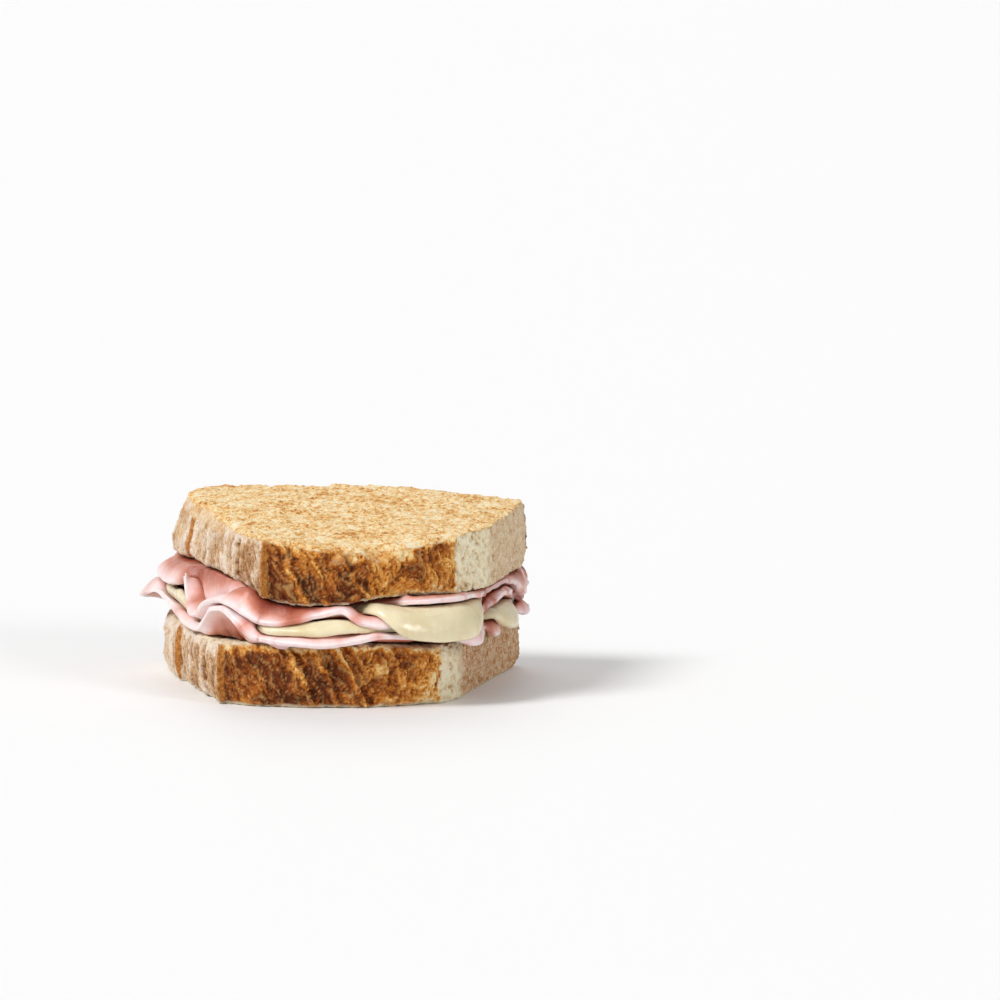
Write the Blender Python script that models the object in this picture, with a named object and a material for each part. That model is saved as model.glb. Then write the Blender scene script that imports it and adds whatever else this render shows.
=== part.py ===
"""Half of a ham and cheese toastie, cut across, lying on its flat side.

Two thick slices of a rustic loaf hold three ruffled slices of ham and two slices of melting cheese.
X runs along the front crust towards the cut, Y away from the front, Z up. Lengths are written in
millimetres and turned into metres by MM. "Along" is the distance round a slice's outline, from the
front corner of the cut: leftwards along the front crust, round the left end and along the back
crust. Along the cut face it is negative.
"""

import math

import bmesh
import bpy
import numpy as np
from mathutils import Vector, noise
from mathutils.bvhtree import BVHTree

MM = 0.001

# The filling's floor and roof are the two faces of bread that hold it.
FLOOR_Z = 16.6
ROOF_Z = 30.6
TOP_Z = 47.2
CRUST_ROUND = 1.5
# Rows up the side of a slice, as shares of its height, and rings on its faces, as shares of its edge.
SIDE_ROWS = (0.0, 0.07, 0.28, 0.5, 0.72, 0.93, 1.0)
FACE_RINGS = (0.92, 0.7, 0.36)
# Steps along a slice's outline: fine on the scored crust, wide on the cut and past BACK_Y.
FINE_STEP = 3.3
WIDE_STEP = 6.0
BACK_Y = 86.0

HAM_THICK = 1.25
CHEESE_THICK = 1.9
CLEAR = 0.3
# A sheet's innermost row is this share of the way to the middle, and the next row this far in.
CORE_PULL = 0.5
INNER_DEPTH = 6.0
# A sheet's profiles turn a corner over this far to either side of it, outside the outline and inside.
OUTWARD_TURN = 4.0
INWARD_TURN = 9.0
# Neighbouring points of a sheet's profile are at least this far apart.
LEAST_STEP = 0.7
# A point further than this from the bread's surface isn't taken to be inside the bread.
DEEPEST = 2.5

# Outlines run anticlockwise seen from above, from the front corner of the cut. A third value of
# 1 marks a sharp corner: a corner of the cut, or the lip beside a score in the crust.
TOP_OUTLINE = (
    (35.2, 0.0, 1), (42.6, 12.2, 0), (44.2, 16.0, 0), (50.0, 48.0, 0), (54.6, 80.0, 1),
    (22.0, 88.0, 0), (-14.0, 95.0, 0), (-38.0, 98.0, 0), (-45.0, 87.0, 0),
    (-44.2, 72.0, 0), (-41.4, 55.9, 1), (-39.2, 54.9, 0), (-38.2, 48.0, 0), (-32.6, 25.0, 0),
    (-24.0, 1.5, 0), (-19.6, -10.1, 1), (-18.0, -8.5, 0), (-7.0, -12.0, 0), (11.0, -11.0, 0),
    (25.0, -6.0, 0),
)
BOTTOM_OUTLINE = (
    (30.8, -1.5, 1), (34.4, 5.2, 0), (36.0, 9.0, 0), (44.0, 46.0, 0), (52.6, 84.0, 1),
    (22.0, 91.0, 0), (-14.0, 97.0, 0), (-41.0, 99.0, 0), (-48.6, 87.0, 0),
    (-48.2, 66.0, 0), (-45.2, 47.9, 1), (-43.4, 47.2, 0), (-42.4, 41.0, 0), (-38.4, 22.0, 0),
    (-34.6, 8.0, 0), (-32.0, -4.7, 1), (-30.2, -3.7, 0), (-19.0, -10.0, 0), (-3.0, -12.5, 0),
    (12.0, -11.5, 0), (24.0, -7.0, 0),
)
FILLING_OUTLINE = (
    (33.0, -1.0, 1), (39.5, 12.0, 0), (47.0, 46.0, 0), (53.4, 82.0, 1),
    (22.0, 89.5, 0), (-14.0, 95.5, 0), (-40.0, 97.0, 0), (-46.6, 85.0, 0),
    (-45.0, 62.0, 0), (-40.4, 42.0, 0), (-34.4, 20.0, 0), (-27.0, 1.0, 0),
    (-16.0, -8.5, 0), (-2.0, -12.0, 0), (12.0, -10.8, 0), (24.0, -6.6, 0),
)


def smooth(t):
    """From 0 to 1 with flat ends, for t from 0 to 1."""
    t = min(1.0, max(0.0, t))
    return t * t * (3.0 - 2.0 * t)


def bump(distance, width, plateau=0.0):
    """1 at the middle and over the plateau, falling smoothly to 0 at half the width."""
    flat = plateau * width / 2.0
    fall = max(1e-6, width / 2.0 - flat)
    return 1.0 - smooth((abs(distance) - flat) / fall)


def rough(x, y, z, scale, seed=0.0, octaves=3):
    """Smooth noise from about -1 to 1, with lumps of about the scale's size."""
    place = Vector((x / scale + seed, y / scale - seed, z / scale + 0.37 * seed))
    return noise.fractal(place, 0.9, 2.1, octaves)


def corner_spans(points):
    """The outline's points in spans that run from one sharp corner to the next."""
    first = next(i for i, p in enumerate(points) if p[2])
    turned = list(points[first:]) + list(points[:first]) + [points[first]]
    spans, span = [], [turned[0][:2]]
    for p in turned[1:]:
        span.append(p[:2])
        if p[2]:
            spans.append(span)
            span = [p[:2]]
    return spans


def spline(span, steps=24):
    """A Catmull-Rom curve through a span's points, without its last point."""
    q = [np.array(p, float) for p in span]
    q = [2 * q[0] - q[1], *q, 2 * q[-1] - q[-2]]
    curve = []
    for a, b, c, d in zip(q, q[1:], q[2:], q[3:]):
        for t in np.arange(steps) / steps:
            curve.append(
                0.5 * (2 * b + (c - a) * t + (2 * a - 5 * b + 4 * c - d) * t * t
                       + (3 * b - a - 3 * c + d) * t ** 3)
            )
    return curve


class Outline:
    """A closed outline that can be read at any distance along it, as `along` is defined above."""

    def __init__(self, points):
        spans = corner_spans(points)
        dense, self.corners = [], []
        for span in spans:
            self.corners.append(len(dense))
            dense += spline(span)
        # Turned round, so that the distance grows leftwards along the front crust.
        dense = [dense[0]] + dense[:0:-1]
        count = len(dense)
        self.corners = [(count - i) % count for i in self.corners]
        self.dense = np.array(dense + [dense[0]])
        legs = np.linalg.norm(np.diff(self.dense, axis=0), axis=1)
        self.reach = np.concatenate([[0.0], np.cumsum(legs)])
        self.length = self.reach[-1]
        self.cut_length = self.length - self.reach[self.corners[1]]
        self.centre = self.dense[:-1].mean(axis=0)

    def point(self, along):
        s = along % self.length
        return np.array([np.interp(s, self.reach, self.dense[:, k]) for k in (0, 1)])

    def normal(self, along, half_step=0.8):
        """The outward direction, averaged over a short stretch."""
        x, y = self.point(along + half_step) - self.point(along - half_step)
        out = np.array([-y, x]) / math.hypot(x, y)
        return out if out.dot(self.point(along) - self.centre) > 0 else -out

    def stations(self, fine, wide):
        """Distances along, with one on each sharp corner: a fine step apart on the scored crust, and
        a wide one on the cut face and along the back."""
        marks = sorted(self.reach[i] for i in self.corners) + [self.length]
        if marks[0] > 0:
            marks.insert(0, 0.0)
        found = []
        for a, b in zip(marks, marks[1:]):
            s = a
            while s < b - 0.7 * fine:
                found.append(s)
                s += wide if self.cut_share(s + 1.0) or self.point(s)[1] > BACK_Y else fine
        return found

    def cut_share(self, along):
        """1 on the cut face and 0 on the crust."""
        s = along % self.length
        return 1.0 if s > self.length - self.cut_length + 0.4 or s < 0.4 else 0.0


def floor_z(x, y):
    """The bottom slice's upper face: a little higher along the front crust."""
    return FLOOR_Z + 1.7 * bump(y + 14.0, 54.0) * bump(x + 10.0, 92.0, 0.4)


def roof_z(x, y):
    """The top slice's underside: it sags at the front and lifts towards the left end."""
    sag = 2.4 * bump(y + 14.0, 66.0) * bump(x + 6.0, 50.0, 0.15)
    lift = 4.0 * smooth((-12.0 - x) / 24.0) - 1.2 * smooth((y - 45.0) / 40.0)
    return ROOF_Z - sag + lift


def top_z(x, y):
    """The top slice's toasted face: domed at the back and low along the front crust."""
    dome = 4.0 * bump(x + 4.0, 150.0, 0.25) * smooth((y + 6.0) / 80.0)
    sag = 3.0 * bump(y + 15.0, 44.0) * bump(x - 14.0, 66.0, 0.3)
    return TOP_Z + dome - sag + 0.5 * rough(x, y, 0, 24.0, 3.0)


def flap(s, rise, at, lean, width, height):
    """A scale of crust: it swells towards the cut and ends there in a step, on a leaning line. `at`
    is where the step is at half the slice's height, and lean is how much further along it is on top."""
    u = (at + lean * (rise - 0.5) + width - s) / width
    return height * u ** 1.5 * smooth((1.0 - u) / 0.12) if 0.0 < u < 1.0 else 0.0


def torn_notch(s, rise, at, width, depth):
    """A piece of the upper crust edge that has broken away."""
    return -depth * bump(s - at, width, 0.2) * smooth((rise - 0.55) / 0.4)


def top_relief(s, rise):
    return (
        flap(s, rise, 34.0, 6.5, 14.0, 1.9)
        + flap(s, rise, 47.5, 9.0, 11.0, 1.6)
        + flap(s, rise, 78.0, 2.0, 18.0, 1.0)
        + flap(s, rise, 102.0, 2.0, 16.0, 0.9)
        + torn_notch(s, rise, 24.0, 11.0, 2.0)
    )


def bottom_relief(s, rise):
    return (
        flap(s, rise, 27.3, 9.5, 8.0, 1.5)
        + flap(s, rise, 34.5, 7.0, 8.0, 1.4)
        + flap(s, rise, 41.5, 8.5, 14.0, 1.7)
        + flap(s, rise, 57.5, 6.0, 9.0, 1.0)
        + flap(s, rise, 86.0, 2.0, 16.0, 1.0)
    )


def new_object(name, verts, faces, colour, roughness):
    """A mesh object in metres from points in millimetres, smooth, with a plain material."""
    mesh = bpy.data.meshes.new(name)
    mesh.from_pydata([tuple(float(c) * MM for c in v) for v in verts], [], faces)
    made = bmesh.new()
    made.from_mesh(mesh)
    bmesh.ops.recalc_face_normals(made, faces=made.faces)
    bmesh.ops.triangulate(made, faces=made.faces, quad_method="SHORT_EDGE")
    made.to_mesh(mesh)
    made.free()
    mesh.shade_smooth()
    material = bpy.data.materials.new(name)
    material.use_nodes = True
    shader = material.node_tree.nodes["Principled BSDF"]
    shader.inputs["Base Color"].default_value = (*colour, 1.0)
    shader.inputs["Roughness"].default_value = roughness
    mesh.materials.append(material)
    obj = bpy.data.objects.new(name, mesh)
    bpy.context.scene.collection.objects.link(obj)
    return obj


def loft(rings, low_cap, high_cap):
    """Vertices and faces of closed rings of equal count, each end closed to a middle point."""
    count = len(rings[0])
    verts = [p for ring in rings for p in ring] + [low_cap, high_cap]
    faces = []
    for r in range(len(rings) - 1):
        for i in range(count):
            j = (i + 1) % count
            faces.append((r * count + i, r * count + j, (r + 1) * count + j, (r + 1) * count + i))
    last = (len(rings) - 1) * count
    for i in range(count):
        j = (i + 1) % count
        faces.append((j, i, len(verts) - 2))
        faces.append((last + i, last + j, len(verts) - 1))
    return verts, faces


def bread_slice(name, outline, low, high, relief, flare, low_rings, high_rings):
    """A slice of bread: a crusted side with its relief, a plain cut face, and two faces given by
    the heights low(x, y) and high(x, y). Flare leans the crust of the left end outwards, downwards."""
    stations = outline.stations(FINE_STEP, WIDE_STEP)

    def side_ring(rise):
        ring = []
        for s in stations:
            x, y = outline.point(s)
            nx, ny = outline.normal(s)
            cut = outline.cut_share(s)
            end = abs(2.0 * rise - 1.0)
            inset = (CRUST_ROUND * (1.0 - cut) + 0.35) * max(0.0, (end - 0.6) / 0.4) ** 2
            out = -inset + 0.35 * rough(x, y, 40.0 * rise, 7.0, 5.0)
            if not cut:
                fade = smooth(s / 3.0) * smooth((outline.length - outline.cut_length - s) / 3.0)
                out += fade * (relief(s, rise) + 0.5 * rough(x, y, 30.0 * rise, 4.5, 1.0))
                out += flare * (0.5 - rise) * smooth((-20.0 - x) / 20.0)
            x, y = x + nx * out, y + ny * out
            bottom, top = low(x, y), high(x, y)
            ring.append((x, y, bottom + (top - bottom) * rise))
        return ring

    def face_ring(edge, share, height):
        cx, cy = outline.centre
        plan = np.array(edge)[:, :2]
        passes = 6 + round(10 * (1.0 - share))
        for _ in range(passes):
            plan = (np.roll(plan, 1, axis=0) + 2 * plan + np.roll(plan, -1, axis=0)) / 4
        ring = []
        for x, y in plan:
            x, y = cx + (x - cx) * share, cy + (y - cy) * share
            ring.append((x, y, height(x, y)))
        return ring

    sides = [side_ring(rise) for rise in SIDE_ROWS]
    under = [face_ring(sides[0], share, low) for share in low_rings]
    over = [face_ring(sides[-1], share, high) for share in high_rings]
    cx, cy = outline.centre
    verts, faces = loft([*under[::-1], *sides, *over], (cx, cy, low(cx, cy)), (cx, cy, high(cx, cy)))
    return new_object(name, verts, faces, (0.80, 0.52, 0.25), 0.85)


def eased(knots, values, at):
    """The values read at a place between knots, smooth and without overshoot."""
    k = int(np.clip(np.searchsorted(knots, at) - 1, 0, len(knots) - 2))

    def slope(i):
        if i <= 0 or i >= len(knots) - 1:
            return np.zeros(values.shape[1])
        before = (values[i] - values[i - 1]) / (knots[i] - knots[i - 1])
        after = (values[i + 1] - values[i]) / (knots[i + 1] - knots[i])
        same_way = before * after > 0
        return np.where(same_way, 2 * before * after / np.where(same_way, before + after, 1.0), 0.0)

    span = knots[k + 1] - knots[k]
    t = (at - knots[k]) / span
    return (
        values[k] * (1 + 2 * t) * (1 - t) ** 2 + values[k + 1] * (3 - 2 * t) * t * t
        + slope(k) * span * t * (1 - t) ** 2 - slope(k + 1) * span * t * t * (1 - t)
    )


def filling_stations(outline):
    """Close together on the sides where the folds are small, and wider along the back."""
    found, s = [], -outline.cut_length
    while s < outline.length - outline.cut_length - 2.0:
        found.append(s)
        s += 2.8 if s < 112.0 else 3.8 if s < 158.0 else 6.5
    return found


def above(point, profile, need):
    """A point of a column moved, if it must be, to the upper side of a profile, clear of it."""
    best = None
    for a, b in zip(profile, profile[1:]):
        along = b - a
        t = float(np.clip((point - a).dot(along) / along.dot(along), 0.0, 1.0))
        spot = a + along * t
        gap = float(np.linalg.norm(point - spot))
        if best is None or gap < best[0]:
            best = (gap, spot, along / np.linalg.norm(along), t == 1.0 and b is profile[-1])
    gap, spot, along, past_edge = best
    if past_edge:
        return point if gap >= need else spot + (point - spot) * need / max(gap, 1e-6)
    up = np.array([-along[1], along[0]])
    return point if (point - spot).dot(up) >= need else spot + up * need


def spread(points):
    """A profile whose points go on outwards: none crowds the one before or turns back on it."""
    points = list(points)
    for k in range(2, len(points)):
        before = points[k - 1] - points[k - 2]
        before = before / np.linalg.norm(before)
        step = points[k] - points[k - 1]
        size = np.linalg.norm(step)
        if size < LEAST_STEP or step.dot(before) < -0.9 * size:
            points[k] = points[k - 1] + LEAST_STEP * before
    return points


def lifted(points, profile, need):
    """A sheet's points, with those beside a lower sheet's ridge moved up until it is clear."""
    points = list(points)
    for low in profile[1:]:
        for k in range(1, len(points)):
            a, b = points[k - 1], points[k]
            along = b - a
            size = float(along.dot(along))
            t = float((low - a).dot(along)) / max(size, 1e-6)
            if not 0.0 < t < 1.0:
                continue
            up = np.array([-along[1], along[0]]) / math.sqrt(size)
            short = need - float((a + along * t - low).dot(up))
            if 0.0 < short < 2.0 * need:
                points[k] = b + up * short
                if k > 1:
                    points[k - 1] = a + up * short
    return points


def sheet_profiles(outline, level, table, thickness, below, seed, steep):
    """For each station, the sheet's inner point, ridge, bend and edge, as reach and height, each
    kept above the sheets below. Steep is where along it the inner point stays near the ridge, and
    over what width."""
    knots = np.array([row[0] for row in table])
    values = np.array([row[1:] for row in table])
    profiles = []
    for i, s in enumerate(filling_stations(outline)):
        ridge_out, ridge_z, edge_out, edge_z = eased(knots, values, s)
        edge_out += 0.5 * noise.noise(Vector((0.21 * s, seed, 1.0)))
        edge_z += 0.5 * noise.noise(Vector((0.24 * s, seed, 5.0)))
        inner_out = min(-INNER_DEPTH * (1.0 - 0.7 * bump(s - steep[0], steep[1], 0.5)), ridge_out - 2.5)
        x, y = outline.point(s) + outline.normal(s, INWARD_TURN) * inner_out
        inner = np.array([inner_out, floor_z(x, y) * (1.0 - level) + roof_z(x, y) * level])
        ridge, edge = np.array([ridge_out, ridge_z]), np.array([edge_out, edge_z])
        points = [inner, ridge, (10 * ridge + 7 * edge - inner) / 16, edge]
        for other_thickness, others in below:
            need = (thickness + other_thickness) / 2 + CLEAR + 0.15
            for k, share in ((i - 1, 0.8), ((i + 1) % len(others), 0.8), (i, 1.0)):
                points = [points[0], *(above(p, others[k], share * need) for p in points[1:])]
                points = spread(lifted(points, others[k], share * need))
        profiles.append(points)
    return profiles


def sheet_grid(outline, level, profiles):
    """The middle surface of a sheet in space: its core row, then the rows of its profiles."""
    cx, cy = outline.centre
    columns = []
    for s, profile in zip(filling_stations(outline), profiles):
        x, y = outline.point(s)
        ix, iy = x + (cx - x) * CORE_PULL, y + (cy - y) * CORE_PULL
        column = [(ix, iy, floor_z(ix, iy) * (1.0 - level) + roof_z(ix, iy) * level)]
        for out, z in profile:
            nx, ny = outline.normal(s, OUTWARD_TURN if out > 0.0 else INWARD_TURN)
            column.append((x + nx * out, y + ny * out, z))
        columns.append(column)
    return np.array(columns).transpose(1, 0, 2)


def keep_off(grid, breads, space):
    """Moves each point of a grid, its core apart, off the two slices of bread."""
    for row in grid[1:]:
        for i, start in enumerate(row):
            p = Vector(start)
            for _ in range(8):
                for tree in breads:
                    spot, normal, _, distance = tree.find_nearest(p)
                    away = p - spot
                    inside = away.dot(normal) < 0.0 and distance < DEEPEST
                    if inside or distance < 1e-4:
                        p = spot + normal * space
                    elif distance < space:
                        p = spot + away * (space / distance)
            row[i] = p
    return grid


def thin_solid(grid, middle, thickness):
    """Vertices and triangles of a sheet of even thickness on a grid of points whose rows close on
    themselves. Both faces are split alike."""
    rows, count, _ = grid.shape
    along = np.roll(grid, -1, axis=1) - np.roll(grid, 1, axis=1)
    across = np.gradient(grid, axis=0)
    normal = np.cross(along, across)
    normal /= np.maximum(np.linalg.norm(normal, axis=2, keepdims=True), 1e-6)
    if normal[0, :, 2].mean() < 0:
        normal = -normal
    half = np.array([0.0, 0.0, thickness / 2])
    upper = (grid + normal * thickness / 2).reshape(-1, 3)
    lower = (grid - normal * thickness / 2).reshape(-1, 3)
    verts = [*upper, *lower, middle + half, middle - half]
    size = rows * count
    faces = []
    for i in range(count):
        j = (i + 1) % count
        for r in range(rows - 1):
            a, b, c, d = r * count + i, r * count + j, (r + 1) * count + j, (r + 1) * count + i
            faces += [(a, b, c), (a, c, d), (size + a, size + c, size + b), (size + a, size + d, size + c)]
        a, b = (rows - 1) * count + i, (rows - 1) * count + j
        faces += [(a, b, size + b), (a, size + b, size + a)]
        faces += [(j, i, 2 * size), (size + i, size + j, 2 * size + 1)]
    return verts, faces


def sheet(name, outline, level, table, thickness, colour, roughness, stack, steep=(0.0, 1e-3)):
    """One slice of ham or cheese, from side to side of the filling, clear of the solids so far."""
    closed = [*table, (table[0][0] + outline.length, *table[0][1:])]
    seed = 10.0 * level
    profiles = sheet_profiles(outline, level, closed, thickness, stack["profiles"], seed, steep)
    stack["profiles"].append((thickness, profiles))
    grid = sheet_grid(outline, level, profiles)
    grid = keep_off(grid, stack["breads"], thickness / 2 + CLEAR + 0.1)
    cx, cy = outline.centre
    floor, roof = floor_z(cx, cy), roof_z(cx, cy)
    middle = np.array([cx, cy, floor + (roof - floor) * level])
    verts, faces = thin_solid(grid, middle, thickness)
    return new_object(name, verts, faces, colour, roughness)


# Where the lower ham arches up, and over what width.
ARCH = (68.0, 26.0)
HAM_COLOUR = (0.87, 0.57, 0.53)
CHEESE_COLOUR = (0.90, 0.84, 0.62)
HAM_ROUGH, CHEESE_ROUGH = 0.35, 0.3

# A row of a sheet's table: the distance along the filling's outline, the ridge's reach past the
# outline and its height, and the edge's reach and height. They follow the folds in the photo.

# Lies on the bottom slice, arches up once beside the left lip and sticks out at the left end.
HAM_LOWER = (
    (-85.0, 0.2, 17.8, 2.2, 17.6), (-75.0, 1.4, 20.5, 3.2, 16.4), (-62.0, 0.0, 18.2, 1.5, 18.0),
    (-50.0, 0.0, 18.0, 2.0, 18.0), (-36.0, 0.0, 18.2, 2.4, 18.3), (-26.0, 1.5, 20.0, 4.2, 15.8),
    (-17.0, 0.5, 19.5, 2.4, 19.6), (-8.0, 2.0, 20.5, 4.6, 15.6), (2.0, 1.0, 19.4, 2.8, 18.4),
    (14.0, 1.5, 20.0, 4.6, 19.8), (22.0, 1.5, 20.0, 5.0, 20.3), (30.0, 1.5, 19.6, 5.4, 18.8),
    (37.0, 1.5, 19.6, 5.8, 17.8), (48.0, 1.5, 19.6, 5.0, 18.5), (56.0, 1.0, 19.8, 4.2, 19.2),
    (61.5, 1.0, 22.0, 4.4, 23.4), (66.5, 0.5, 24.6, 4.2, 26.4), (72.5, 0.5, 24.4, 4.2, 26.2),
    (81.0, 0.0, 20.8, 3.8, 22.4), (91.0, 0.0, 18.0, 3.0, 18.2), (100.0, 0.0, 17.8, 3.2, 17.9),
    (106.0, 0.0, 18.0, 3.6, 18.4), (113.0, 0.5, 18.8, 4.2, 20.8), (118.0, 1.0, 20.0, 4.4, 22.4),
    (124.0, 1.2, 20.6, 4.8, 23.2), (131.0, 1.8, 21.8, 5.2, 24.4), (137.0, 3.2, 24.4, 7.6, 23.4),
    (143.0, 4.6, 26.2, 9.7, 21.2), (149.0, 3.6, 25.2, 8.4, 20.6), (155.0, 1.4, 21.0, 4.6, 19.6),
    (164.0, 0.0, 18.0, 2.4, 18.2), (178.0, 0.2, 18.2, 3.6, 18.6), (188.0, 0.0, 17.8, 2.0, 17.8),
    (199.0, 0.2, 18.0, 4.2, 17.2), (212.0, 0.0, 17.8, 2.2, 18.0), (224.0, 0.0, 17.8, 1.6, 17.9),
    (238.0, 0.2, 18.2, 3.8, 18.4), (250.0, 0.0, 17.8, 2.4, 17.7),
)
# Bulges at the front, stands up in a pocket at the left end and hangs as a tongue on the cut side.
CHEESE_LOWER = (
    (-85.0, -2.0, 20.6, 0.0, 20.6), (-66.0, -1.0, 20.8, 0.5, 20.8), (-51.0, 1.0, 22.0, 2.6, 21.0),
    (-46.0, 3.0, 23.4, 5.6, 18.6), (-40.0, 3.8, 23.8, 6.8, 16.8), (-34.0, 3.6, 23.6, 6.4, 17.0),
    (-27.0, 1.2, 22.8, 3.4, 20.8),
    (-20.0, -1.6, 21.8, 0.2, 22.0), (-8.0, -1.6, 21.8, 0.0, 22.2), (4.0, -1.6, 22.0, 0.2, 22.0),
    (16.0, 1.0, 22.4, 3.0, 21.8), (26.0, 1.2, 23.4, 3.2, 21.6), (34.0, 2.0, 24.4, 4.0, 20.6),
    (44.0, 1.8, 23.0, 3.8, 20.2), (52.0, 1.8, 22.0, 3.6, 20.6), (57.0, -0.6, 22.0, 0.8, 21.8),
    (62.0, -5.0, 22.4, -4.0, 22.8), (72.0, -5.0, 22.8, -4.0, 23.2), (82.0, -3.0, 21.6, -2.0, 21.6),
    (92.0, -1.0, 20.8, 0.5, 21.0), (101.0, -0.5, 21.0, 0.8, 21.4), (109.0, 0.6, 22.8, 2.2, 24.8),
    (115.0, 1.0, 23.6, 2.8, 26.0), (124.0, 1.0, 24.0, 2.8, 26.2), (132.0, 0.8, 24.2, 2.2, 26.0),
    (138.0, -1.0, 24.2, 0.0, 24.8), (146.0, -2.0, 23.8, -1.0, 24.0), (158.0, -1.4, 21.0, 0.2, 21.0),
    (172.0, -2.0, 20.4, -0.6, 20.4), (190.0, -3.6, 20.4, -2.6, 20.4), (206.0, -1.0, 20.4, 1.0, 20.4),
    (224.0, 1.0, 21.2, 3.8, 18.8), (238.0, -1.0, 20.6, 0.6, 20.6), (252.0, -2.0, 20.5, 0.2, 20.5),
)
# Comes out high and turns down over the front in two drapes; at the left end its edge drops into a
# valley and then stands up to the roof.
HAM_MIDDLE = (
    (-85.0, -0.5, 23.6, 0.6, 23.0), (-73.0, 1.0, 25.0, 2.2, 21.4), (-60.0, -0.5, 23.6, 1.2, 23.4),
    (-48.0, 1.2, 26.3, 3.4, 26.0), (-38.0, 1.4, 26.4, 3.2, 26.2), (-28.0, 0.0, 25.0, 2.4, 23.8),
    (-18.0, 0.0, 24.4, 1.4, 24.6), (-8.0, -2.0, 24.2, -0.4, 24.3), (0.0, -2.0, 24.4, -0.6, 24.4),
    (9.0, -2.0, 24.2, -0.4, 24.2), (17.0, 0.4, 24.6, 3.2, 23.2), (22.0, 1.6, 24.8, 4.8, 22.4),
    (28.5, 1.2, 25.8, 4.6, 24.3), (31.5, -2.0, 26.8, 1.6, 27.6), (39.5, -4.0, 26.0, 3.2, 26.2),
    (45.0, -4.0, 25.8, 3.6, 24.2), (51.0, -3.0, 26.4, 3.6, 23.4), (56.0, -1.0, 29.0, 4.0, 24.0),
    (60.0, 0.8, 32.4, 4.4, 25.8), (64.5, 0.6, 31.6, 4.4, 27.6), (70.0, 0.4, 30.2, 4.0, 28.4),
    (79.0, 0.2, 28.0, 3.8, 26.8), (86.0, 0.2, 26.0, 3.4, 25.0), (93.0, 0.0, 22.6, 2.8, 21.6),
    (97.0, 0.0, 22.6, 2.8, 20.8), (102.0, 0.0, 25.0, 3.0, 23.0), (105.0, 0.2, 28.4, 3.0, 28.0),
    (108.0, 0.0, 30.2, 2.8, 32.6), (112.0, -1.8, 27.4, -0.4, 27.6), (121.0, -2.2, 26.8, -0.8, 26.8),
    (130.0, -1.4, 26.8, 0.4, 26.8), (139.0, -0.4, 27.0, 2.6, 27.6), (150.0, 0.0, 25.6, 2.4, 25.8),
    (164.0, 0.0, 23.2, 2.8, 23.4), (176.0, 0.0, 22.9, 1.6, 22.8), (190.0, 0.6, 23.4, 3.8, 20.0),
    (204.0, -0.4, 22.9, 1.8, 23.3), (218.0, -1.0, 23.0, 0.4, 23.2), (232.0, 0.0, 23.0, 2.6, 22.6),
    (246.0, 0.8, 23.4, 3.4, 21.2), (256.0, 0.0, 23.2, 1.4, 23.0),
)
# Hangs over the front beside the cut.
CHEESE_UPPER = (
    (-85.0, -3.0, 26.2, -1.0, 26.2), (-66.0, -2.0, 26.4, -0.5, 26.2), (-50.0, -5.0, 26.4, -4.0, 26.4),
    (-36.0, -5.0, 26.6, -4.0, 26.6), (-22.0, -1.0, 27.0, 0.6, 26.8), (-13.0, 0.6, 27.6, 2.4, 26.4),
    (-8.5, 3.2, 27.8, 5.4, 23.0), (-4.0, 4.2, 27.8, 7.0, 18.9), (4.0, 4.8, 27.8, 7.6, 18.3),
    (12.0, 5.0, 27.8, 7.8, 18.6), (17.0, 5.0, 27.8, 7.8, 20.2), (20.5, 4.2, 27.8, 7.0, 23.4),
    (23.5, 1.8, 27.9, 4.2, 27.0), (27.0, -3.4, 26.4, -2.2, 26.5), (32.0, -9.5, 25.0, -8.5, 25.0),
    (50.0, -12.0, 25.0, -11.0, 24.9), (66.0, -11.0, 25.8, -10.0, 25.7), (84.0, -9.0, 27.4, -8.0, 27.4),
    (100.0, -10.0, 28.6, -9.0, 28.8), (114.0, -7.0, 29.4, -6.0, 29.4), (130.0, -5.0, 29.2, -4.0, 29.2),
    (150.0, -3.0, 28.2, -1.6, 28.2),
    (172.0, -2.4, 25.6, -0.8, 25.6), (186.0, -1.4, 25.6, 0.8, 25.5), (202.0, 1.0, 26.0, 3.6, 23.8),
    (216.0, -1.0, 25.6, 0.6, 25.5), (240.0, -3.6, 25.6, -2.6, 25.6), (254.0, -3.0, 25.8, -1.4, 25.8),
)
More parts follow.
